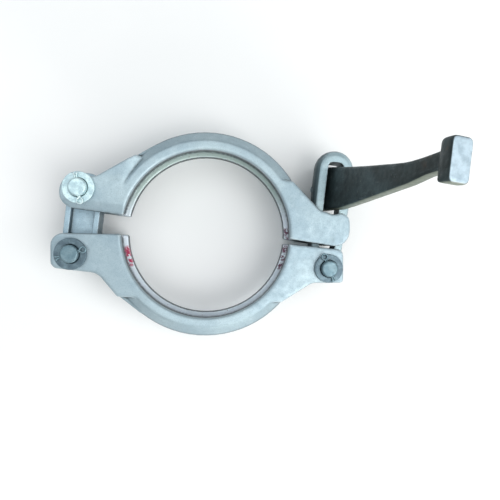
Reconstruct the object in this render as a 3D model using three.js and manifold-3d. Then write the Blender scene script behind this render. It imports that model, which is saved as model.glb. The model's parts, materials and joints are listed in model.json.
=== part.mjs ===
// Quick-release pipe clamp coupling: two forged half rings, joined by a hinge link on the left and
// drawn together by a tension link and a wedge on the right. Millimetres, +Z up, ring axis upright.
import * as THREE from "three";
import { mergeVertices } from "three/addons/utils/BufferGeometryUtils.js";
import Module from "manifold-3d";

const wasm = await Module();
wasm.setup();

// ---- driving dimensions -------------------------------------------------------------------------
const BORE_R = 70;                 // lips, over the neck of the pipe collar
const GROOVE_R = 75.5;             // room for the collar between the lips
const LIP_FLAT_R = 77.5;           // outer edge of the flat face of each lip
const RING_R = 86;                 // outside of the ring
const HALF_WIDTH = 25;             // half of the ring's axial width
const LIP = 10;                    // axial thickness of a lip
const SHOULDER = 8;                // axial drop of the sloped band outside the lip
const MID = 32.5;                  // height of the ring's middle plane above the resting plane
const SLOT = 20;                   // width of the slot between the two cheeks of a lug
const LINK_T = 19.2;               // thickness of the links that work in the slots
const GAP = 0.3;                   // running clearance between neighbouring pieces

const UPPER_PIN = [-103, 37.5];
const LOWER_PIN = [-109.6, -16.2];
const LINK_PIN = [102.2, -28.9];
const HINGE_PIN_R = 7.5;
const LINK_PIN_R = 7;
const PIN_HALF = MID;              // the pins stand on the resting plane
const WASHER_T = 2.8;
const SPLIT_R = 1.25;              // wire of a split pin
const SPLIT_Z = 29.6;              // height of a split pin from the middle plane

const LINK_TILT = THREE.MathUtils.degToRad(-6.8);   // tension link, from +Y towards +X
const WINDOW_HALF = 6.8;
const WINDOW_TOP = 92.2;           // from the link pin's axis
const WINDOW_BOTTOM = 14.5;
const LOOP_R = 17.3;               // round top of the tension link
const LOOP_CENTRE = 86;
const EYE_R = 12.5;
const LOOP_ROUND = 5.5;            // how far the loop's rounded side stands out past its face

const WEDGE_LEAN = THREE.MathUtils.degToRad(12);
const WEDGE_T = 8.8;
const WEDGE_ROUND = 1.8;           // rounding along the wedge's edges
const WEDGE_LENGTH = 204.5;
const HEAD_LENGTH = 16.5;
const STOP_PIN_R = 3;
const STOP_PIN_AT = [70, 9];       // across the width from the link pin's axis, and along the wedge
const FAR = 200;                   // half size of a cutting block

const ZINC = { color: 0xb4c8d2, roughness: 0.42, metalness: 0.85 };
const BRIGHT_ZINC = { color: 0xc6d8df, roughness: 0.35, metalness: 0.9 };
const DARK_STEEL = { color: 0x46555a, roughness: 0.5, metalness: 0.8 };

// ---- solids -------------------------------------------------------------------------------------
function solid(geometry) {
  const bare = geometry.clone();
  bare.deleteAttribute("normal");
  bare.deleteAttribute("uv");
  const merged = mergeVertices(bare, 1e-4);
  const mesh = new wasm.Mesh({
    numProp: 3,
    vertProperties: new Float32Array(merged.attributes.position.array),
    triVerts: new Uint32Array(merged.index.array),
  });
  return new wasm.Manifold(mesh);
}

function toGeometry(body) {
  const mesh = body.getMesh();
  const geometry = new THREE.BufferGeometry();
  geometry.setAttribute("position", new THREE.BufferAttribute(mesh.vertProperties, 3));
  geometry.setIndex(new THREE.BufferAttribute(mesh.triVerts, 1));
  geometry.computeVertexNormals();
  return geometry;
}

function cylinder(x, y, z0, z1, radius, sides = 32) {
  const geometry = new THREE.CylinderGeometry(radius, radius, z1 - z0, sides);
  geometry.rotateX(Math.PI / 2);
  geometry.translate(x, y, (z0 + z1) / 2);
  return solid(geometry);
}

function block(x0, x1, y0, y1, z0, z1) {
  const geometry = new THREE.BoxGeometry(x1 - x0, y1 - y0, z1 - z0);
  geometry.translate((x0 + x1) / 2, (y0 + y1) / 2, (z0 + z1) / 2);
  return solid(geometry);
}

// A closed outline from corners [x, y, radius]; a corner with a radius becomes an arc.
function roundedOutline(corners, steps = 6) {
  const points = [];
  corners.forEach(([x, y, radius = 0], i) => {
    const corner = new THREE.Vector2(x, y);
    const [px, py] = corners[(i + corners.length - 1) % corners.length];
    const [nx, ny] = corners[(i + 1) % corners.length];
    const back = new THREE.Vector2(px, py).sub(corner).normalize();
    const ahead = new THREE.Vector2(nx, ny).sub(corner).normalize();
    if (radius === 0) {
      points.push(corner);
      return;
    }
    const half = Math.acos(back.dot(ahead)) / 2;
    const start = corner.clone().addScaledVector(back, radius / Math.tan(half));
    const end = corner.clone().addScaledVector(ahead, radius / Math.tan(half));
    const inward = back.clone().add(ahead).normalize();
    const centre = corner.clone().addScaledVector(inward, radius / Math.sin(half));
    const from = Math.atan2(start.y - centre.y, start.x - centre.x);
    let turn = Math.atan2(end.y - centre.y, end.x - centre.x) - from;
    turn = Math.atan2(Math.sin(turn), Math.cos(turn));
    for (let k = 0; k <= steps; k += 1) {
      const angle = from + (turn * k) / steps;
      points.push(new THREE.Vector2(radius, 0).rotateAround(new THREE.Vector2(), angle).add(centre));
    }
  });
  return new THREE.Shape(points);
}

function plate(outline, z0, z1) {
  const geometry = new THREE.ExtrudeGeometry(outline, { depth: z1 - z0, bevelEnabled: false });
  geometry.translate(0, 0, z0);
  return solid(geometry);
}

// ---- half rings ---------------------------------------------------------------------------------
function ringSection() {
  const inner = HALF_WIDTH - LIP;
  const band = HALF_WIDTH - SHOULDER;
  const section = [
    [BORE_R + 1, HALF_WIDTH], [LIP_FLAT_R, HALF_WIDTH], [RING_R - 1.5, band + 1], [RING_R, band - 1.5],
    [RING_R, -band + 1.5], [RING_R - 1.5, -band - 1], [LIP_FLAT_R, -HALF_WIDTH], [BORE_R + 1, -HALF_WIDTH],
    [BORE_R, -HALF_WIDTH + 1], [BORE_R, -inner], [GROOVE_R, -inner], [GROOVE_R, inner],
    [BORE_R, inner], [BORE_R, HALF_WIDTH - 1], [BORE_R + 1, HALF_WIDTH],
  ];
  return section.map(([r, z]) => new THREE.Vector2(r, z)).reverse();
}

function fullRing() {
  const geometry = new THREE.LatheGeometry(ringSection(), 72);
  geometry.rotateX(Math.PI / 2);
  return solid(geometry);
}

// A lug as high as the ring, without what would reach into the ring's groove.
function lug(corners) {
  const body = plate(roundedOutline(corners), -HALF_WIDTH, HALF_WIDTH);
  return body.subtract(cylinder(0, 0, -FAR, FAR, (GROOVE_R + LIP_FLAT_R) / 2, 72));
}

// A lower web, level with the foot of the sloped band, that runs from a lug into the ring's back.
function fairing(corners) {
  const height = HALF_WIDTH - SHOULDER + 1;
  return plate(new THREE.Shape(corners.map(([x, y]) => new THREE.Vector2(x, y))), -height, height)
    .subtract(cylinder(0, 0, -FAR, FAR, (GROOVE_R + RING_R) / 2, 72));
}

function slot(x0, x1) {
  return block(x0, x1, -FAR, FAR, -SLOT / 2, SLOT / 2);
}

// What a sloping facet takes off a lug's face: it starts on a line and falls away to its right side.
function facet(side, [x, y], direction, reach, drop, length) {
  const geometry = new THREE.BoxGeometry(length, 40, 20);
  geometry.translate(length / 2, -20, side * 10);
  geometry.rotateX(side * Math.atan2(drop, reach));
  geometry.rotateZ(THREE.MathUtils.degToRad(direction));
  geometry.translate(x, y, side * HALF_WIDTH);
  return solid(geometry);
}

// The upper hinge lug's faces fall away beside the lip.
function upperHingeLug() {
  const body = lug([
    [-60, 14.6], [-119, 22.5, 12], [-119, 52.6, 14], [-91, 46.4, 9], [-58, 65.4], [-42, 60.2], [-50, 20],
  ]);
  return body
    .subtract(facet(1, [-71, 26], 81, 11, 3.2, 45))
    .subtract(facet(-1, [-71, 26], 81, 11, 3.2, 45));
}

function upperHalf() {
  const seatLug = lug([
    [57, 46.7], [72.5, 44.2], [96.5, 19.2, 10], [121, 17.2, 8], [121, -12.6, 13], [60, -2.6],
  ]);
  const keep = plate(new THREE.Shape([
    new THREE.Vector2(-150, 26.6), new THREE.Vector2(-60, 14.6), new THREE.Vector2(60, -2.6),
    new THREE.Vector2(150, -17.4), new THREE.Vector2(150, 150), new THREE.Vector2(-150, 150),
  ]), -FAR, FAR);
  // Both faces also fall away along the parting edge on the hinge side.
  return fullRing()
    .add(upperHingeLug())
    .add(fairing([[-91, 45], [-55, 40], [-36, 76], [-43, 74.1], [-58, 65.4]]))
    .add(seatLug)
    .intersect(keep)
    .subtract(facet(1, [-119, 31], -7.6, 8.5, 2.6, 62))
    .subtract(facet(-1, [-119, 31], -7.6, 8.5, 2.6, 62))
    .subtract(slot(-FAR, -86))
    .subtract(slot(88.8, FAR))
    .subtract(cylinder(107.5, 28.4, -FAR, FAR, 11.6, 48))
    .subtract(cylinder(...UPPER_PIN, -FAR, FAR, HINGE_PIN_R + GAP));
}

function lowerHalf() {
  const hingeLug = lug([
    [-60, -0.3], [-60, -45], [-56.8, -52.5], [-73, -51.5], [-89, -32, 12], [-126.2, -27.5, 6],
    [-126.2, 1, 10],
  ]);
  const linkLug = lug([
    [60, -7.4], [47, -56.7], [62, -57.6], [88.5, -41.2, 10], [115.4, -41.2, 3], [115.4, -13, 6],
  ]);
  const keep = plate(new THREE.Shape([
    new THREE.Vector2(-150, 1.5), new THREE.Vector2(-150, -150), new THREE.Vector2(150, -150),
    new THREE.Vector2(150, -16.5), new THREE.Vector2(60, -7.4), new THREE.Vector2(-60, -0.3),
  ]), -FAR, FAR);
  return fullRing()
    .add(hingeLug)
    .add(fairing([[-73, -51.5], [-54.5, -66.5], [-48, -60], [-70, -40]]))
    .add(linkLug)
    .intersect(keep)
    .subtract(slot(-FAR, -91))
    .subtract(slot(88.8, FAR))
    .subtract(cylinder(...LOWER_PIN, -FAR, FAR, HINGE_PIN_R + GAP))
    .subtract(cylinder(...LINK_PIN, -FAR, FAR, LINK_PIN_R + GAP));
}

// ---- links --------------------------------------------------------------------------------------
// The hinge link, in a frame at the lower pin with +Y towards the upper pin.
function hingeLink(length) {
  const [width, shift, rail, web] = [14.3, 1.4, 4.7, 7];
  const outline = roundedOutline([
    [shift + width, -width, width - 2], [shift + width, length + width, width - 2],
    [shift - width, length + width, width - 2], [shift - width, -width, width - 2],
  ], 8);
  const pocket = roundedOutline([
    [shift + width - rail, 10.5, 2.5], [shift + width - rail, length - 10.5, 2.5],
    [shift - width + rail, length - 10.5, 2.5], [shift - width + rail, 10.5, 2.5],
  ], 3);
  return plate(outline, -LINK_T / 2, LINK_T / 2)
    .subtract(plate(pocket, web / 2, FAR))
    .subtract(plate(pocket, -FAR, -web / 2))
    .subtract(cylinder(0, 0, -FAR, FAR, HINGE_PIN_R + GAP))
    .subtract(cylinder(0, length, -FAR, FAR, HINGE_PIN_R + GAP));
}

// An outline round two circles on the Y axis, which is the shape of a strap between two bosses.
function strapOutline(y0, r0, y1, r1, steps = 12) {
  const lean = Math.asin((r1 - r0) / (y1 - y0));
  const points = [];
  const arc = (y, r, from, to) => {
    for (let k = 0; k <= steps; k += 1) {
      const angle = from + ((to - from) * k) / steps;
      points.push(new THREE.Vector2(r * Math.cos(angle), y + r * Math.sin(angle)));
    }
  };
  arc(y1, r1, -lean, Math.PI + lean);
  arc(y0, r0, Math.PI + lean, 2 * Math.PI - lean);
  return new THREE.Shape(points);
}

// The tension link, in a frame at its pin with +Y along the loop.
function tensionLink() {
  const faceR = LOOP_R - LOOP_ROUND;
  const rounding = LINK_T / 2 - 0.4;
  const loop = new THREE.ExtrudeGeometry(strapOutline(0, faceR, LOOP_CENTRE, faceR), {
    depth: LINK_T - 2 * rounding,
    bevelSize: LOOP_ROUND,
    bevelThickness: rounding,
    bevelSegments: 4,
  });
  loop.translate(0, 0, -LINK_T / 2 + rounding);
  const window = roundedOutline([
    [WINDOW_HALF, WINDOW_BOTTOM, 5], [WINDOW_HALF, WINDOW_TOP, 4], [-WINDOW_HALF, WINDOW_TOP, 4],
    [-WINDOW_HALF, WINDOW_BOTTOM, 5],
  ], 5);
  return solid(loop)
    .intersect(plate(strapOutline(0, EYE_R, LOOP_CENTRE, LOOP_R + 1), -FAR, FAR))
    .subtract(plate(window, -FAR, FAR))
    .subtract(cylinder(0, 0, -FAR, FAR, LINK_PIN_R + GAP));
}

// ---- wedge --------------------------------------------------------------------------------------
// In a frame with Z along the wedge from its tail, and Y across its width from the link pin's axis.
function wedgeBlank() {
  const tapered = new THREE.SplineCurve([
    new THREE.Vector2(93, 0), new THREE.Vector2(87.8, 45), new THREE.Vector2(83.8, 84),
    new THREE.Vector2(80.6, 123), new THREE.Vector2(78.6, 157), new THREE.Vector2(81.2, 192),
  ]).getPoints(20);
  const seatSide = [
    new THREE.Vector2(68.6, 192), new THREE.Vector2(67, 176), new THREE.Vector2(63.2, 157),
    new THREE.Vector2(54, 86), new THREE.Vector2(50.9, 59), new THREE.Vector2(50.9, 4),
    new THREE.Vector2(54.9, 0),
  ];
  const outline = new THREE.Shape([...tapered, ...seatSide]);
  const geometry = new THREE.ExtrudeGeometry(outline, {
    depth: WEDGE_T - 2 * WEDGE_ROUND,
    bevelSize: WEDGE_ROUND,
    bevelThickness: WEDGE_ROUND,
    bevelOffset: -WEDGE_ROUND,
    bevelSegments: 2,
  });
  geometry.translate(0, 0, WEDGE_ROUND - WEDGE_T / 2);
  geometry.rotateX(Math.PI / 2);
  geometry.rotateZ(Math.PI / 2);
  return solid(geometry);
}

// A hammer head: its underside is well rounded towards the neck, and its edges are broken.
function wedgeHead() {
  const [halfX, halfY, centre, shift, under, edge] = [7.4, 13.9, 73.6, -0.8, 6.9, 1.6];
  const core = new THREE.Shape([
    new THREE.Vector2(halfX - under, under - halfY), new THREE.Vector2(halfX - under, halfY - under),
    new THREE.Vector2(under - halfX, halfY - under), new THREE.Vector2(under - halfX, under - halfY),
  ]);
  const swelling = new THREE.ExtrudeGeometry(core, {
    depth: HEAD_LENGTH, bevelSize: under, bevelThickness: 1.8 * under, bevelSegments: 6,
  });
  swelling.translate(shift, centre, WEDGE_LENGTH - HEAD_LENGTH + 1.8 * under);
  const outline = roundedOutline([
    [halfX, -halfY, 3.4], [halfX, halfY, 3.4], [-halfX, halfY, 3.4], [-halfX, -halfY, 3.4],
  ], 4);
  const sleeve = new THREE.ExtrudeGeometry(outline, {
    depth: HEAD_LENGTH, bevelSize: edge, bevelThickness: edge, bevelOffset: -edge, bevelSegments: 2,
  });
  sleeve.translate(shift, centre, WEDGE_LENGTH - HEAD_LENGTH - edge);
  return solid(swelling).intersect(solid(sleeve));
}

function wedge() {
  const hole = new THREE.CylinderGeometry(STOP_PIN_R + GAP, STOP_PIN_R + GAP, 2 * WEDGE_T, 20);
  hole.rotateZ(Math.PI / 2);
  hole.translate(0, ...STOP_PIN_AT);
  return wedgeBlank().add(wedgeHead()).subtract(solid(hole));
}

function stopPin() {
  const geometry = new THREE.CylinderGeometry(STOP_PIN_R, STOP_PIN_R, 18, 20);
  geometry.rotateZ(Math.PI / 2);
  geometry.translate(0, ...STOP_PIN_AT);
  return solid(geometry);
}

// ---- pins, washers and split pins ---------------------------------------------------------------
function crossHole(z, direction, radius) {
  const geometry = new THREE.CylinderGeometry(radius, radius, 40, 12);
  geometry.rotateZ(direction - Math.PI / 2);
  geometry.translate(0, 0, z);
  return solid(geometry);
}

function pinBar(radius, directions) {
  const chamfer = 1;
  const profile = [
    [0, -PIN_HALF], [radius - chamfer, -PIN_HALF], [radius, -PIN_HALF + chamfer],
    [radius, PIN_HALF - chamfer], [radius - chamfer, PIN_HALF], [0, PIN_HALF],
  ].map(([r, z]) => new THREE.Vector2(r, z));
  const geometry = new THREE.LatheGeometry(profile, 32);
  geometry.rotateX(Math.PI / 2);
  return solid(geometry)
    .subtract(crossHole(SPLIT_Z, directions[0], SPLIT_R + 0.35))
    .subtract(crossHole(-SPLIT_Z, directions[1], SPLIT_R + 0.35));
}

function washer(radius, bore) {
  const outside = cylinder(0, 0, 0, WASHER_T, radius, 36);
  return outside.subtract(cylinder(0, 0, -1, WASHER_T + 1, bore + 0.4));
}

// A split pin along +X: an eye at the far side, a stem through the pin, two spread legs behind.
function splitPin(pinR) {
  const eyeR = 2.3;
  const eyeAt = pinR + GAP + eyeR + 1;
  const eye = new THREE.TorusGeometry(eyeR, 0.95, 6, 14);
  eye.translate(eyeAt, 0, 0);
  const stemLength = pinR + eyeAt - eyeR + 1;
  const stem = new THREE.CylinderGeometry(SPLIT_R, SPLIT_R, stemLength, 8);
  stem.rotateZ(Math.PI / 2);
  stem.translate(eyeAt - eyeR - stemLength / 2, 0, 0);
  let body = solid(eye).add(solid(stem));
  for (const side of [-1, 1]) {
    const leg = new THREE.CylinderGeometry(0.8, 0.9, 5, 6);
    leg.translate(0, 2, 0);
    leg.rotateZ(Math.PI / 2 - side * 0.5);
    leg.translate(-pinR - 0.9, side * 0.2, 0);
    body = body.add(solid(leg));
  }
  return body;
}

// ---- assembly -----------------------------------------------------------------------------------
const coupling = new THREE.Group();

function place(parent, name, body, look) {
  const mesh = new THREE.Mesh(toGeometry(body), new THREE.MeshStandardMaterial(look));
  mesh.name = name;
  parent.add(mesh);
  return mesh;
}

function frameAt([x, y], turn = 0, z = MID) {
  const frame = new THREE.Group();
  frame.position.set(x, y, z);
  frame.rotation.z = turn;
  coupling.add(frame);
  return frame;
}

const ringFrame = frameAt([0, 0]);
place(ringFrame, "upper_half", upperHalf(), ZINC);
place(ringFrame, "lower_half", lowerHalf(), ZINC);

const linkRun = [UPPER_PIN[0] - LOWER_PIN[0], UPPER_PIN[1] - LOWER_PIN[1]];
const hingeFrame = frameAt(LOWER_PIN, -Math.atan2(linkRun[0], linkRun[1]));
place(hingeFrame, "hinge_link", hingeLink(Math.hypot(...linkRun)), ZINC);

const loopFrame = frameAt(LINK_PIN, LINK_TILT);
place(loopFrame, "tension_link", tensionLink(), ZINC);

// The wedge leans in the window; its tail's lower edge touches the resting plane.
const wedgeFrame = new THREE.Group();
const tailRise = (WEDGE_T / 2) * Math.sin(WEDGE_LEAN);
wedgeFrame.position.set((tailRise - MID) * Math.tan(WEDGE_LEAN), 0, tailRise - MID);
wedgeFrame.rotation.y = WEDGE_LEAN;
loopFrame.add(wedgeFrame);
place(wedgeFrame, "wedge", wedge(), DARK_STEEL);
place(wedgeFrame, "wedge_stop_pin", stopPin(), BRIGHT_ZINC);

// Each pin: where it is, its radius, its washers' radius, and where its split pins' eyes point.
const PINS = [
  { name: "upper_hinge", at: UPPER_PIN, radius: HINGE_PIN_R, washerR: 13, eyes: [-81, 40] },
  { name: "lower_hinge", at: LOWER_PIN, radius: HINGE_PIN_R, washerR: 13, eyes: [18, 160] },
  { name: "tension_link", at: LINK_PIN, radius: LINK_PIN_R, washerR: 12, eyes: [112, 40] },
];
for (const { name, at, radius, washerR, eyes } of PINS) {
  const frame = frameAt(at);
  const directions = eyes.map(THREE.MathUtils.degToRad);
  place(frame, `${name}_pin`, pinBar(radius, directions), BRIGHT_ZINC);
  ["front", "rear"].forEach((end, i) => {
    const side = i === 0 ? 1 : -1;
    const disc = place(frame, `${name}_${end}_washer`, washer(washerR, radius), BRIGHT_ZINC);
    disc.position.z = side > 0 ? HALF_WIDTH + GAP : -HALF_WIDTH - GAP - WASHER_T;
    const clip = place(frame, `${name}_${end}_split_pin`, splitPin(radius), BRIGHT_ZINC);
    clip.position.z = side * SPLIT_Z;
    clip.rotation.z = directions[i];
  });
}

// The origin is the middle of the underside of the whole coupling.
coupling.updateMatrixWorld(true);
const box = new THREE.Box3().setFromObject(coupling, true);
const centre = box.getCenter(new THREE.Vector3());
for (const child of coupling.children) {
  child.position.x -= centre.x;
  child.position.y -= centre.y;
  child.position.z -= box.min.z;
}

export default coupling;
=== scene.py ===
"""Looks of a two-half pipe clamp coupling: zinc forgings, bright pins and a dark worn wedge."""
import json
import math

import bmesh
import bpy
import numpy as np
from mathutils import Matrix, Vector

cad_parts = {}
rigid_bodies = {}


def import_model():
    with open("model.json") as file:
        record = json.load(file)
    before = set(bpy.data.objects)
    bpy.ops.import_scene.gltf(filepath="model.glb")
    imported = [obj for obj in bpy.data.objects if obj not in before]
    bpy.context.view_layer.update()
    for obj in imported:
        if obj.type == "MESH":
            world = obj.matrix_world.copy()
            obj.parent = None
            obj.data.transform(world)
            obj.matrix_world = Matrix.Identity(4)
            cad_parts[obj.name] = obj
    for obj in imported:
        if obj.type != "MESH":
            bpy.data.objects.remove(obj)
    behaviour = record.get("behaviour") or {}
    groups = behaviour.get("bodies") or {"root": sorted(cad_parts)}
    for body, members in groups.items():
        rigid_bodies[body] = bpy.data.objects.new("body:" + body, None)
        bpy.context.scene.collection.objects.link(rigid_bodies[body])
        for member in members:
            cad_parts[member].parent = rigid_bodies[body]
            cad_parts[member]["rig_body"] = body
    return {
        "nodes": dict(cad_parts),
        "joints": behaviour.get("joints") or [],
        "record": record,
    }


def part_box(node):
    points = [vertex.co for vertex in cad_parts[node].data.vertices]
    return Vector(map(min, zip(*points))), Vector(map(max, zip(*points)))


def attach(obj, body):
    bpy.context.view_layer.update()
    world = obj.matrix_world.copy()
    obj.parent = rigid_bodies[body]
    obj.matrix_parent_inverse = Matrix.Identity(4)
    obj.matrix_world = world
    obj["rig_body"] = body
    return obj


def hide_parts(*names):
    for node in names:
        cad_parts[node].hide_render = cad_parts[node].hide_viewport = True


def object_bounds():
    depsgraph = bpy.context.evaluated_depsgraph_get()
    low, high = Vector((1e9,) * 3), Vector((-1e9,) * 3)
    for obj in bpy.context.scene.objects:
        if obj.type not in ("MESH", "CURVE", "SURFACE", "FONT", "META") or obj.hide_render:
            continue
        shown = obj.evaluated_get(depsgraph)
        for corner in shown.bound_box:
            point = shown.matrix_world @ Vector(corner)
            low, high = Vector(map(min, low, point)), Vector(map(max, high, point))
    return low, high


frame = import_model()
cad_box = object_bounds()

MM = 0.001
LIP_R = 70 * MM                     # half the bore of the ring's two lips
GROOVE_BEYOND_SEAT = 2.5 * MM       # from the collar seat's mount out to the groove's wall
EDGE_POINTINESS = 0.515             # above it a surface counts as an outside edge
CREVICE_POINTINESS = (0.496, 0.466)  # where an inside corner begins, and where it is full
FORGED_METALLIC = 0.55
TURNED_METALLIC = 0.6

nodes = frame["nodes"]
mounts = {m["name"]: Vector(m["pos_m"]) for m in frame["record"]["mounts"]}
joints = {j["name"]: j for j in frame["joints"]}
ring_x = mounts["front_collar_seat"].x
ring_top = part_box("upper_half")[1].z
groove_r = abs(mounts["front_collar_seat"].y) + GROOVE_BEYOND_SEAT
wedge_axis = tuple(Vector(joints["wedge_slide"]["axis"]).normalized())

# Places of the row frame that the looks refer to.
wedge_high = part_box("wedge")[1]
neck_point = tuple(wedge_high - Vector((16 * MM, 14 * MM, 18 * MM)))
head_point = tuple(wedge_high - Vector((8 * MM, 14 * MM, 3 * MM)))
seam_point = (ring_x + 92 * MM, -8 * MM, ring_top - 15 * MM)
dusty_point = (ring_x - 95 * MM, -30 * MM, ring_top)


# ---- node helpers -------------------------------------------------------------------------------
class Shader:
    """A small builder of materials: most methods add nodes and return an output socket."""

    def __init__(self, name):
        self.material = bpy.data.materials.new(name)
        self.material.use_nodes = True
        self.tree = self.material.node_tree
        self.bsdf = self.tree.nodes["Principled BSDF"]
        self.coords = self.tree.nodes.new("ShaderNodeTexCoord").outputs["Object"]

    def add(self, kind, **values):
        node = self.tree.nodes.new(kind)
        for key, value in values.items():
            setattr(node, key, value)
        return node

    def feed(self, socket, value):
        if hasattr(value, "is_output"):
            self.tree.links.new(value, socket)
        else:
            socket.default_value = value

    def noise(self, scale, detail, rough=0.55, stretch=None):
        node = self.add("ShaderNodeTexNoise")
        vector = self.coords
        if stretch:
            mapping = self.add("ShaderNodeMapping")
            self.feed(mapping.inputs["Vector"], vector)
            mapping.inputs["Scale"].default_value = stretch
            vector = mapping.outputs["Vector"]
        self.feed(node.inputs["Vector"], vector)
        node.inputs["Scale"].default_value = scale
        node.inputs["Detail"].default_value = detail
        node.inputs["Roughness"].default_value = rough
        return node.outputs["Fac"]

    def ramp(self, factor, low, high, out_low=0.0, out_high=1.0):
        node = self.add("ShaderNodeMapRange", clamp=True, interpolation_type="SMOOTHSTEP")
        for key, value in (("Value", factor), ("From Min", low), ("From Max", high),
                           ("To Min", out_low), ("To Max", out_high)):
            self.feed(node.inputs[key], value)
        return node.outputs["Result"]

    def math(self, operation, a, b=0.0):
        node = self.add("ShaderNodeMath", operation=operation)
        self.feed(node.inputs[0], a)
        self.feed(node.inputs[1], b)
        return node.outputs[0]

    def times(self, a, b):
        return self.math("MULTIPLY", a, b)

    def vector_math(self, operation, a, b=(0.0, 0.0, 0.0)):
        """A vector operation on a socket and a constant; gives a number or a vector."""
        node = self.add("ShaderNodeVectorMath", operation=operation)
        self.feed(node.inputs[0], a)
        node.inputs[1].default_value = b
        is_number = operation in ("DISTANCE", "DOT_PRODUCT", "LENGTH")
        return node.outputs["Value" if is_number else "Vector"]

    def parts(self, vector):
        """The x, y and z outputs of a vector."""
        node = self.add("ShaderNodeSeparateXYZ")
        self.feed(node.inputs[0], vector)
        return node.outputs

    def mix(self, factor, a, b):
        node = self.add("ShaderNodeMix", data_type="RGBA")
        first, second = (socket for socket in node.inputs if socket.type == "RGBA")
        self.feed(node.inputs["Factor"], factor)
        self.feed(first, a)
        self.feed(second, b)
        return next(socket for socket in node.outputs if socket.type == "RGBA")

    def coat(self, below, mask, strength, colour):
        """A colour laid over what is below, where a mask says, at a strength."""
        return self.mix(self.times(mask, strength), below, colour)

    def near(self, point, radius):
        """1 at a point of the row frame, falling to 0 at the radius."""
        return self.ramp(self.vector_math("DISTANCE", self.coords, point), radius, radius * 0.4)

    def normal(self):
        """The rest shape's surface direction."""
        return self.add("ShaderNodeTexCoord").outputs["Normal"]

    def facing(self, direction, low, high):
        """1 where the rest surface looks along a direction of the row frame."""
        return self.ramp(self.vector_math("DOT_PRODUCT", self.normal(), direction), low, high)

    def upright(self, low, high):
        """1 on upright walls of the rest shape, 0 on level faces."""
        return self.ramp(self.math("ABSOLUTE", self.parts(self.normal())["Z"]), low, high)

    def from_axis(self):
        """The place counted from the ring's axis, and the distance to that axis."""
        place = self.vector_math("SUBTRACT", self.coords, (ring_x, 0.0, 0.0))
        flat = self.vector_math("MULTIPLY", place, (1.0, 1.0, 0.0))
        return place, self.vector_math("LENGTH", flat)

    def sides(self, beyond):
        """1 on upright walls that are further than a distance from the ring's axis."""
        radius = self.from_axis()[1]
        return self.times(self.upright(0.75, 0.35), self.ramp(radius, beyond, beyond + 2 * MM))

    def pointiness(self):
        """About 0.5 on flat faces, more on outside edges and less in inside corners."""
        return self.add("ShaderNodeNewGeometry").outputs["Pointiness"]

    def edge_wear(self, amount):
        """Handled edges: 1 on sharp outside edges."""
        return self.ramp(self.pointiness(), EDGE_POINTINESS, EDGE_POINTINESS + amount)

    def crevice_shade(self):
        """Inside corners, for darkening them as painted shade."""
        return self.ramp(self.pointiness(), *CREVICE_POINTINESS)

    def bump(self, height, strength, distance, below=None):
        node = self.add("ShaderNodeBump")
        node.inputs["Strength"].default_value = strength
        node.inputs["Distance"].default_value = distance
        self.feed(node.inputs["Height"], height)
        if below is not None:
            self.feed(node.inputs["Normal"], below)
        return node.outputs["Normal"]

    def finish(self, colour, roughness, normal, metallic):
        self.feed(self.bsdf.inputs["Base Color"], colour)
        self.feed(self.bsdf.inputs["Roughness"], roughness)
        self.feed(self.bsdf.inputs["Normal"], normal)
        self.feed(self.bsdf.inputs["Metallic"], metallic)
        return self.material


def groove_masks(s):
    """Masks for the groove's painted light and shade, and its specks: the lips' inner walls,
    the groove between them, its outer edge and its shaded half.
    """
    place, radius = s.from_axis()
    where = s.parts(place)

    def under(start, full):
        """1 below the ring's upper face, beginning at one depth and full at another."""
        return s.ramp(where["Z"], ring_top - start, ring_top - full)

    walls = s.times(s.upright(0.80, 0.45), s.ramp(radius, LIP_R + 1.6 * MM, LIP_R + 0.8 * MM))
    walls = s.times(walls, under(2.5 * MM, 5.5 * MM))
    groove = s.times(under(9 * MM, 12 * MM), s.ramp(radius, groove_r + 1 * MM, groove_r))
    edge = s.times(groove, s.ramp(radius, groove_r - 2.0 * MM, groove_r - 0.6 * MM))
    shade = s.times(groove, s.ramp(where["Y"], 10 * MM, 45 * MM))
    return walls, groove, edge, shade


# ---- materials ----------------------------------------------------------------------------------
def clamp_grime_light_and_shade(s, colour):
    """What only the two halves have: grime, a painted shadow along the split between them,
    and the groove's painted light and shade and its specks.
    """
    colour = s.coat(colour, s.near(dusty_point, 85 * MM), 0.24, (0.16, 0.22, 0.26, 1))
    # Painted shadow in the split between the halves: its upright walls near there go near black.
    seam_shadow = s.times(s.near(seam_point, 60 * MM), s.sides(71 * MM))
    colour = s.coat(colour, seam_shadow, 0.90, (0.02, 0.028, 0.03, 1))
    walls, groove, edge, shade = groove_masks(s)
    # Painted light: the collar seat in the groove is made lighter.
    colour = s.coat(colour, groove, 0.75, (0.80, 0.86, 0.93, 1))
    colour = s.coat(colour, shade, 0.62, (0.30, 0.42, 0.34, 1))
    # Painted shadow along the groove's outer edge.
    colour = s.coat(colour, edge, 0.30, (0.08, 0.10, 0.12, 1))
    # Painted shade: the lips' inner walls go near black.
    colour = s.coat(colour, walls, 0.90, (0.045, 0.055, 0.065, 1))
    specks = s.times(groove, s.ramp(s.noise(520, 3, 0.6), 0.66, 0.70))
    return s.coat(colour, specks, 0.8, (0.16, 0.06, 0.07, 1))


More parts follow.
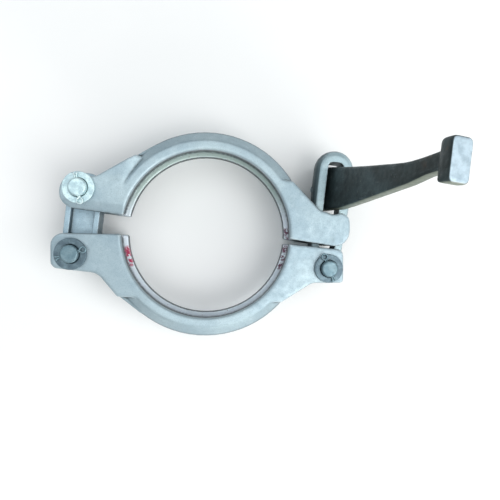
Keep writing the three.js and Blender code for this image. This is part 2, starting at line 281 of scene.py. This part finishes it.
def zinc_forging(name, light, dark, paint_spots=(), groove=False, shaded_side=None):
    """Zinc plating on a forged, blasted surface: faintly cloudy, grainy, rubbed bright on edges.

    The paint spots are places with a radius and a colour, groove adds what only the two halves
    have, and the last argument is the direction of a side darkened as painted shade.
    """
    s = Shader(name)
    grain = s.noise(1300, 3, 0.65)
    colour = s.mix(s.ramp(s.noise(24, 3, 0.5), 0.25, 0.75), dark, light)
    colour = s.coat(colour, s.ramp(s.noise(140, 5, 0.65), 0.48, 0.72), 0.16, (0.72, 0.84, 0.88, 1))
    colour = s.coat(colour, s.ramp(grain, 0.46, 0.72), 0.45, (0.17, 0.24, 0.28, 1))
    colour = s.coat(colour, s.ramp(s.noise(62, 6, 0.7), 0.58, 0.76), 0.22, (0.24, 0.30, 0.30, 1))
    # Painted shade: upright outer walls darkened, as sides turned away from the light.
    colour = s.coat(colour, s.sides(80 * MM), 0.72, (0.075, 0.10, 0.115, 1))
    if shaded_side:
        # Painted shade on the side that looks along the given direction.
        colour = s.coat(colour, s.facing(shaded_side, 0.20, 0.75), 0.80, (0.055, 0.085, 0.095, 1))
    if groove:
        colour = clamp_grime_light_and_shade(s, colour)
    for point, radius, tint in paint_spots:
        flakes = s.ramp(s.noise(330, 4, 0.7), 0.44, 0.50)
        colour = s.coat(colour, s.times(s.near(point, radius), flakes), 0.95, tint)
    # Painted shade in inside corners.
    colour = s.coat(colour, s.crevice_shade(), 0.80, (0.055, 0.075, 0.085, 1))
    colour = s.coat(colour, s.edge_wear(0.05), 0.5, (0.74, 0.84, 0.87, 1))
    rough = s.ramp(s.noise(210, 5), 0.3, 0.7, 0.38, 0.55)
    normal = s.bump(s.noise(300, 6, 0.6), 0.22, 0.30 * MM)
    normal = s.bump(grain, 0.40, 0.06 * MM, normal)
    return s.finish(colour, rough, normal, FORGED_METALLIC)


def zinc_hardware(name, light, dark):
    """Turned and stamped hardware: zinc with fine turning marks, dents and handling dirt."""
    s = Shader(name)
    marks = s.noise(900, 3, 0.6, (1.0, 1.0, 6.0))
    shade = tuple(c * 0.35 for c in dark[:3]) + (1,)
    glow = tuple(min(1.0, c * 1.5) for c in light[:3]) + (1,)
    colour = s.mix(s.ramp(s.noise(170, 4), 0.36, 0.66), dark, light)
    colour = s.coat(colour, s.ramp(marks, 0.5, 0.7), 0.35, shade)
    colour = s.coat(colour, s.ramp(s.noise(420, 5, 0.7), 0.60, 0.72), 0.45, shade)
    # Painted shade in inside corners.
    colour = s.coat(colour, s.crevice_shade(), 0.7, shade)
    colour = s.coat(colour, s.edge_wear(0.06), 0.5, glow)
    rough = s.ramp(s.noise(500, 4), 0.3, 0.7, 0.28, 0.48)
    normal = s.bump(marks, 0.25, 0.05 * MM)
    normal = s.bump(s.noise(260, 4), 0.2, 0.2 * MM, normal)
    return s.finish(colour, rough, normal, TURNED_METALLIC)


def dark_steel(name):
    """The wedge: dark rubbed forging skin, scratched lengthwise, bright on the head's struck end."""
    s = Shader(name)
    scratches = s.ramp(s.noise(420, 5, 0.6, (1.0, 1.0, 0.08)), 0.56, 0.70)
    colour = s.mix(s.ramp(s.noise(38, 5), 0.34, 0.66),
                   (0.022, 0.033, 0.034, 1), (0.062, 0.092, 0.098, 1))
    colour = s.coat(colour, scratches, 0.35, (0.16, 0.20, 0.21, 1))
    colour = s.coat(colour, s.ramp(s.noise(700, 2, 0.5), 0.72, 0.76), 0.5, (0.40, 0.40, 0.34, 1))
    colour = s.coat(colour, s.near(neck_point, 52 * MM), 0.55, (0.014, 0.020, 0.019, 1))
    # Painted light: faces turned towards −y made lighter and greenish, as lit from that side.
    colour = s.coat(colour, s.facing((0.0, -1.0, 0.0), 0.55, 0.85), 0.80, (0.22, 0.25, 0.20, 1))
    rust = s.times(s.near(neck_point, 20 * MM), s.ramp(s.noise(110, 4), 0.52, 0.64))
    colour = s.coat(colour, rust, 0.55, (0.12, 0.065, 0.035, 1))
    dents = s.ramp(s.noise(180, 5, 0.65), 0.30, 0.66)
    bright = s.mix(dents, (0.33, 0.43, 0.50, 1), (0.50, 0.62, 0.70, 1))
    colour = s.mix(s.facing(wedge_axis, 0.70, 0.92), colour, bright)
    # Painted highlight: a near-white glint on the head's faces that look up and towards −y.
    rim_highlight = s.times(s.facing((0.14, -0.68, 0.72), 0.90, 0.97), s.near(head_point, 30 * MM))
    colour = s.coat(colour, rim_highlight, 0.9, (0.80, 0.83, 0.78, 1))
    colour = s.coat(colour, s.edge_wear(0.06), 0.35, (0.32, 0.38, 0.40, 1))
    rough = s.ramp(s.noise(260, 5), 0.3, 0.7, 0.38, 0.58)
    normal = s.bump(s.noise(300, 6, 0.6), 0.35, 0.4 * MM)
    normal = s.bump(scratches, 0.15, 0.05 * MM, normal)
    return s.finish(colour, rough, normal, FORGED_METALLIC)


# ---- fine meshes from the frame's solids --------------------------------------------------------
def new_object(name, data):
    obj = bpy.data.objects.new(name, data)
    bpy.context.scene.collection.objects.link(obj)
    return obj


def smooth(mesh):
    for polygon in mesh.polygons:
        polygon.use_smooth = True


def baked(obj):
    """The object with its modifiers applied, so that what is shown is the plain mesh."""
    graph = bpy.context.evaluated_depsgraph_get()
    graph.update()
    mesh = bpy.data.meshes.new_from_object(obj.evaluated_get(graph))
    obj.modifiers.clear()
    obj.data = mesh
    smooth(mesh)
    return obj


WELD_GAP = 0.002 * MM
SOFTENING = 0.5                     # how far each round of smoothing goes
LUMP_SIZE = 7 * MM
LUMP_LEVEL = 0.62                   # over 0.5: the lumps take off more than they add


def forged(node, voxel, rounds, lumps=0.0):
    """A fine copy of a CAD solid with the soft edges and the slight waviness of a forging."""
    piece = new_object(f"{node}_fine", nodes[node].data.copy())
    piece.data.materials.clear()
    weld = piece.modifiers.new("weld", "WELD")
    weld.merge_threshold = WELD_GAP
    remesh = piece.modifiers.new("remesh", "REMESH")
    remesh.mode = "VOXEL"
    remesh.voxel_size = voxel
    soften = piece.modifiers.new("soften", "SMOOTH")
    soften.factor = SOFTENING
    soften.iterations = rounds
    if lumps:
        texture = bpy.data.textures.new(f"{node}_lumps", "CLOUDS")
        texture.noise_scale = LUMP_SIZE
        texture.noise_depth = 2
        wavy = piece.modifiers.new("lumps", "DISPLACE")
        wavy.texture = texture
        wavy.strength = lumps
        wavy.mid_level = LUMP_LEVEL
        wavy.texture_coords = "LOCAL"
    return baked(piece)


def stand_in(piece, node, material):
    """Shows a fine piece in place of a CAD node, riding on the node's body."""
    piece.data.materials.append(material)
    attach(piece, nodes[node]["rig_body"])
    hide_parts(node)


WIRE_R = 0.64 * MM
WIRE_RESOLUTION = 4
WIRE_WELD = 0.01 * MM
EYE_R = 2.3 * MM
EYE_GAP = 1.3 * MM                  # bare wire between the pin and the eye
EYE_JOIN = 0.4 * MM                 # from the eye back to where the two wires lie together
EYE_STEPS = 22
LEG_BACK = 0.9 * MM                 # from the pin's far side to where the legs begin to spread
LEG_LENGTH = 3.6 * MM
LEG_SPREAD = 0.30                   # radians


def split_pin_path(pin_r):
    """One wire: leg, stem, round the eye, and back beside itself to the other leg."""
    eye_x = pin_r + EYE_GAP + EYE_R
    back, front = -pin_r - LEG_BACK, eye_x - EYE_R - EYE_JOIN
    leg = [(back - LEG_LENGTH * math.cos(LEG_SPREAD) * t,
            WIRE_R + LEG_LENGTH * math.sin(LEG_SPREAD) * t * t) for t in (1.0, 0.75, 0.5, 0.25, 0.0)]
    stem = [(back * (1 - t) + front * t, WIRE_R) for t in (0.2, 0.5, 0.8, 1.0)]
    start = math.pi - math.asin(WIRE_R / EYE_R)
    angles = [start - 2 * start * k / EYE_STEPS for k in range(EYE_STEPS + 1)]
    eye = [(eye_x + EYE_R * math.cos(angle), EYE_R * math.sin(angle)) for angle in angles]
    return leg + stem + eye + [(x, -y) for x, y in reversed(leg + stem)]


def split_pin_turn(node, centre):
    """The way that a split pin's eye points: where its solid reaches furthest from the pin's axis."""
    points = np.array([v.co for v in nodes[node].data.vertices])[:, :2] - np.array(centre[:2])
    values, vectors = np.linalg.eigh(points.T @ points)
    along = vectors[:, int(np.argmax(values))]
    reach = points @ along
    if reach.max() < -reach.min():
        along = -along
    return math.atan2(along[1], along[0])


def wire_mesh(name, points):
    """A round wire along a path in the xy plane, as a closed mesh."""
    curve = bpy.data.curves.new(name, "CURVE")
    curve.dimensions = "3D"
    curve.bevel_depth = WIRE_R
    curve.bevel_resolution = WIRE_RESOLUTION
    curve.use_fill_caps = True
    spline = curve.splines.new("POLY")
    spline.points.add(len(points) - 1)
    for point, (x, y) in zip(spline.points, points):
        point.co = (x, y, 0.0, 1.0)
    wire = new_object(name, curve)
    bpy.context.view_layer.update()
    graph = bpy.context.evaluated_depsgraph_get()
    mesh = bpy.data.meshes.new_from_object(wire.evaluated_get(graph))
    bpy.data.objects.remove(wire)
    return mesh


def split_pin(node, pin_node):
    """A bent-wire split pin through the drilled pin, along the direction of the CAD solid."""
    low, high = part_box(pin_node)
    centre = (low + high) / 2
    pin_r = (high.x - low.x) / 2
    low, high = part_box(node)
    height = (low.z + high.z) / 2
    turn = Matrix.Rotation(split_pin_turn(node, centre), 4, "Z")
    mesh = wire_mesh(f"{node}_wire", split_pin_path(pin_r))
    mesh.transform(Matrix.Translation((centre.x, centre.y, height)) @ turn)
    mesh.materials.clear()
    bm = bmesh.new()
    bm.from_mesh(mesh)
    bmesh.ops.remove_doubles(bm, verts=bm.verts, dist=WIRE_WELD)
    bmesh.ops.recalc_face_normals(bm, faces=bm.faces)
    bm.to_mesh(mesh)
    bm.free()
    smooth(mesh)
    return new_object(f"{node}_fine", mesh)


# ---- the coupling -------------------------------------------------------------------------------
RED, MAROON = (0.42, 0.02, 0.08, 1), (0.11, 0.015, 0.05, 1)
PAINT_R = LIP_R + 2 * MM            # from the ring's axis, on the seat of the rear lip
PAINT_Z = ring_top - 40 * MM
PAINT_SPOT = 5 * MM


def paint_run(first, last, count, tint):
    """Spots of flaking paint along the collar seat, from one angle to another in degrees."""
    angles = [math.radians(first + (last - first) * k / (count - 1)) for k in range(count)]
    return [((ring_x + PAINT_R * math.cos(angle), PAINT_R * math.sin(angle), PAINT_Z),
             PAINT_SPOT, tint) for angle in angles]


spots = paint_run(191, 200, 3, RED) + paint_run(2, -23, 5, MAROON)
zinc = zinc_forging("zinc_forging", (0.42, 0.53, 0.575, 1), (0.31, 0.415, 0.475, 1),
                    paint_spots=spots, groove=True)
link_zinc = zinc_forging("zinc_link", (0.41, 0.55, 0.63, 1), (0.27, 0.40, 0.49, 1))
loop_zinc = zinc_forging("zinc_loop", (0.50, 0.64, 0.68, 1), (0.34, 0.47, 0.52, 1),
                         shaded_side=(-1.0, 0.0, 0.0))
bright_zinc = zinc_hardware("zinc_bright", (0.62, 0.80, 0.82, 1), (0.40, 0.55, 0.60, 1))
dull_zinc = zinc_hardware("zinc_dull", (0.185, 0.275, 0.315, 1), (0.12, 0.20, 0.24, 1))
washer_zinc = zinc_hardware("zinc_washer", (0.135, 0.20, 0.235, 1), (0.085, 0.13, 0.16, 1))
steel = dark_steel("dark_steel")

# Each forging's look and slot, its voxel, its rounds of smoothing and the height of its lumps.
FORGINGS = (
    ("upper_half", zinc, "zinc_forging", 0.9 * MM, 4, 0.10 * MM),
    ("lower_half", zinc, "zinc_forging", 0.9 * MM, 4, 0.10 * MM),
    ("hinge_link", link_zinc, "zinc_forging", 0.6 * MM, 5, 0.10 * MM),
    ("tension_link", loop_zinc, "zinc_forging", 0.6 * MM, 5, 0.12 * MM),
    ("wedge", steel, "dark_steel", 0.6 * MM, 9, 0.14 * MM),
)
for name, look, slot, voxel, rounds, lumps in FORGINGS:
    stand_in(forged(name, voxel, rounds, lumps), name, look)

PIN_VOXEL, SMALL_VOXEL = 0.4 * MM, 0.35 * MM
HARDWARE_ROUNDS = 3
# The look of each pin and its split pins, and the look of its washers.
FINISHES = {
    "upper_hinge": (bright_zinc, bright_zinc),
    "lower_hinge": (dull_zinc, washer_zinc),
    "tension_link": (dull_zinc, washer_zinc),
}
stand_in(forged("wedge_stop_pin", SMALL_VOXEL, HARDWARE_ROUNDS), "wedge_stop_pin",
         dull_zinc)
for name, (pin_look, washer_look) in FINISHES.items():
    pin = f"{name}_pin"
    stand_in(forged(pin, PIN_VOXEL, HARDWARE_ROUNDS), pin, pin_look)
    for end in ("front", "rear"):
        washer = f"{name}_{end}_washer"
        stand_in(forged(washer, SMALL_VOXEL, HARDWARE_ROUNDS), washer, washer_look)
        clip = f"{name}_{end}_split_pin"
        stand_in(split_pin(clip, pin), clip, pin_look)


# ---- floor, light and camera --------------------------------------------------------------------
FLOOR_SIZE = 6.0
LIGHT_TARGET = Vector((0, 0, 0))    # the middle of the resting plane
SKY = (0.88, 0.95, 1.0, 1)
SKY_POWER = 0.34

SENSOR = 36.0                       # mm
FOCAL_RATIO = 1.022                 # focal length over the width of the picture
VIEW_DISTANCE = 424 * MM            # from the camera down to the ring's upper face
VIEW_SHIFT = (4.6 * MM, -6.6 * MM)  # of the camera, from the ring's axis
VIEW_TILT = (0.0744, -0.0157, -1.0)


def floor():
    mesh = bpy.data.meshes.new("floor")
    bm = bmesh.new()
    bmesh.ops.create_grid(bm, x_segments=1, y_segments=1, size=FLOOR_SIZE)
    bm.to_mesh(mesh)
    bm.free()
    obj = new_object("floor", mesh)
    obj.location.z = cad_box[0][2]
    s = Shader("floor")
    tone = s.mix(s.ramp(s.noise(3, 3), 0.4, 0.7), (0.88, 0.89, 0.89, 1), (0.93, 0.93, 0.93, 1))
    rough = s.ramp(s.noise(9, 2), 0.3, 0.7, 0.75, 0.85)
    mesh.materials.append(s.finish(tone, rough, s.bump(s.noise(60, 3), 0.05, 0.2 * MM), 0.0))


def area_light(name, place, size, power, tint):
    data = bpy.data.lights.new(name, "AREA")
    data.shape = "RECTANGLE"
    data.size, data.size_y = size
    data.energy = power
    data.color = tint
    obj = new_object(name, data)
    obj.location = place
    obj.rotation_euler = (LIGHT_TARGET - Vector(place)).to_track_quat("-Z", "Y").to_euler()


def sky():
    world = bpy.data.worlds.new("studio")
    bpy.context.scene.world = world
    world.use_nodes = True
    back = world.node_tree.nodes["Background"]
    back.inputs["Color"].default_value = SKY
    back.inputs["Strength"].default_value = SKY_POWER


def camera():
    data = bpy.data.cameras.new("camera")
    data.sensor_width = SENSOR
    data.lens = SENSOR * FOCAL_RATIO
    data.clip_start = 0.01
    obj = new_object("camera", data)
    obj.location = (ring_x + VIEW_SHIFT[0], VIEW_SHIFT[1], ring_top + VIEW_DISTANCE)
    back = -Vector(VIEW_TILT).normalized()
    right = Vector((0, 1, 0)).cross(back).normalized()
    up = back.cross(right)
    obj.rotation_euler = Matrix((right, up, back)).transposed().to_euler()
    bpy.context.scene.camera = obj


floor()
area_light("key", (0.80, -0.45, 1.25), (1.0, 1.3), 12.5, (1.0, 0.99, 0.97))
area_light("low", (0.35, -1.35, 0.50), (1.3, 0.7), 7.5, (1.0, 1.0, 0.96))
area_light("side", (1.35, 0.40, 0.55), (0.8, 0.7), 3.2, (1.0, 1.0, 0.98))
area_light("fill", (-0.9, 0.5, 1.15), (1.0, 1.0), 3.0, (0.90, 0.96, 1.0))
area_light("top", (0.0, 0.0, 1.90), (2.2, 2.2), 17.0, (1.0, 0.995, 0.985))
sky()
camera()
bpy.context.scene.view_settings.view_transform = "Standard"
